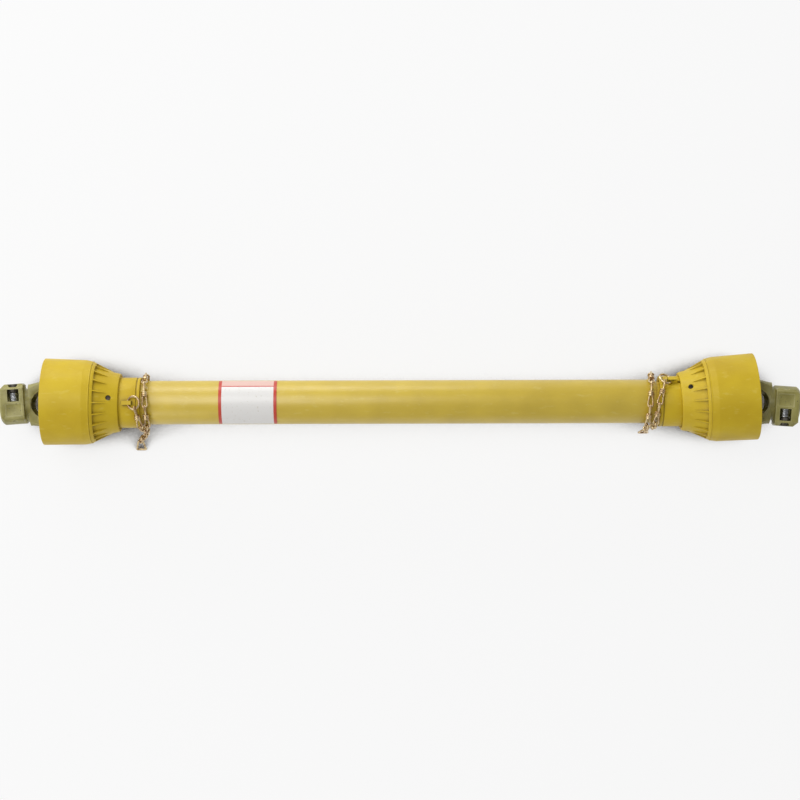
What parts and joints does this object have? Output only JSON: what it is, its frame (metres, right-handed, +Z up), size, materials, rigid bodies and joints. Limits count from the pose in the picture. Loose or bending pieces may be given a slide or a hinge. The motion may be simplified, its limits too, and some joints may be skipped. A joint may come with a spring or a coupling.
{
  "type": "pto drive shaft",
  "caption": "Telescopic cardan drive shaft with splined quick-release yokes, crosses, lobed steel tubes, and a plastic guard of tubes, ribbed cones, bells and holding chains.",
  "frame": {"origin": "centre of the shaft's length, on the surface that the two guard bells lie on", "axes": "+X along the shaft, towards the half with the inner guard tube; +Z up; +Y across"},
  "size_m": [1.0132, 0.1219, 0.1099],
  "materials": {
    "guard_plastic": "yellow moulded plastic, slightly glossy",
    "bearing_nylon": "white nylon",
    "sticker": "blank vinyl sticker with red edges",
    "yoke_paint": "olive paint on a forging",
    "tube_steel": "drawn steel tube",
    "bright_steel": "ground steel",
    "zinc_steel": "zinc plated",
    "chain_steel": "yellow zinc plated wire"
  },
  "bodies": {
    "guard_left": {"guard_bell_left": "guard_plastic", "guard_cone_left": "guard_plastic", "guard_collar_left": "guard_plastic", "guard_tube_left": "guard_plastic", "guard_bearing_left": "bearing_nylon", "guard_screw_left_1": "zinc_steel", "guard_screw_left_2": "zinc_steel", "guard_screw_left_3": "zinc_steel", "label": "sticker", "chain_ring_left": "chain_steel", "chain_left": "chain_steel", "chain_hook_left": "chain_steel"},
    "shaft_left": {"inner_yoke_left": "yoke_paint", "profile_tube_left": "tube_steel", "roll_pin_left": "zinc_steel", "cap_left_z_plus": "bright_steel", "cap_left_z_minus": "bright_steel", "snap_ring_left_z_plus": "zinc_steel", "snap_ring_left_z_minus": "zinc_steel"},
    "cross_left": {"cross_left": "bright_steel", "grease_nipple_left": "zinc_steel"},
    "yoke_left": {"outer_yoke_left": "yoke_paint", "cap_left_y_plus": "bright_steel", "cap_left_y_minus": "bright_steel", "snap_ring_left_y_plus": "zinc_steel", "snap_ring_left_y_minus": "zinc_steel", "pin_spring_left": "bright_steel"},
    "pin_left": {"push_pin_left": "bright_steel"},
    "shaft_right": {"inner_yoke_right": "yoke_paint", "profile_tube_right": "tube_steel", "roll_pin_right": "zinc_steel", "cap_right_z_plus": "bright_steel", "cap_right_z_minus": "bright_steel", "snap_ring_right_z_plus": "zinc_steel", "snap_ring_right_z_minus": "zinc_steel"},
    "guard_right": {"guard_bell_right": "guard_plastic", "guard_cone_right": "guard_plastic", "guard_collar_right": "guard_plastic", "guard_tube_right": "guard_plastic", "guard_bearing_right": "bearing_nylon", "guard_screw_right_1": "zinc_steel", "guard_screw_right_2": "zinc_steel", "guard_screw_right_3": "zinc_steel", "chain_ring_right": "chain_steel", "chain_right": "chain_steel", "chain_hook_right": "chain_steel"},
    "cross_right": {"cross_right": "bright_steel", "grease_nipple_right": "zinc_steel"},
    "yoke_right": {"outer_yoke_right": "yoke_paint", "cap_right_y_plus": "bright_steel", "cap_right_y_minus": "bright_steel", "snap_ring_right_y_plus": "zinc_steel", "snap_ring_right_y_minus": "zinc_steel", "pin_spring_right": "bright_steel"},
    "pin_right": {"push_pin_right": "bright_steel"}
  },
  "joints": [
    {"name": "left_shaft_spin", "type": "hinge", "parent": "guard_left", "child": "shaft_left", "pos_m": [-0.43, 0, 0.05493], "axis": [1, 0, 0], "continuous": true},
    {"name": "telescope", "type": "slide", "parent": "shaft_left", "child": "shaft_right", "axis": [1, 0, 0], "range_m": [0, 0.35]},
    {"name": "right_guard_spin", "type": "hinge", "parent": "shaft_right", "child": "guard_right", "pos_m": [0.43, 0, 0.05493], "axis": [1, 0, 0], "continuous": true},
    {"name": "left_cross_swing", "type": "hinge", "parent": "shaft_left", "child": "cross_left", "pos_m": [-0.43, 0, 0.05493], "axis": [0, 0, 1], "range_deg": [-24, 16]},
    {"name": "left_yoke_swing", "type": "hinge", "parent": "cross_left", "child": "yoke_left", "pos_m": [-0.43, 0, 0.05493], "axis": [-0.0698, 0.9976, 0], "range_deg": [-20, 20]},
    {"name": "right_cross_swing", "type": "hinge", "parent": "shaft_right", "child": "cross_right", "pos_m": [0.43, 0, 0.05493], "axis": [0, 0, 1], "range_deg": [-16, 24]},
    {"name": "right_yoke_swing", "type": "hinge", "parent": "cross_right", "child": "yoke_right", "pos_m": [0.43, 0, 0.05493], "axis": [0.0698, 0.9976, 0], "range_deg": [-20, 20]},
    {"name": "left_pin_press", "type": "slide", "parent": "yoke_left", "child": "pin_left", "axis": [0.0698, -0.9976, 0], "range_m": [0, 0.005], "stiffness_N_per_m": 1500, "springref_m": -0.004, "deforming": ["pin_spring_left"]},
    {"name": "right_pin_press", "type": "slide", "parent": "yoke_right", "child": "pin_right", "axis": [0.0698, 0.9976, 0], "range_m": [0, 0.005], "stiffness_N_per_m": 1500, "springref_m": -0.004, "deforming": ["pin_spring_right"]}
  ]
}
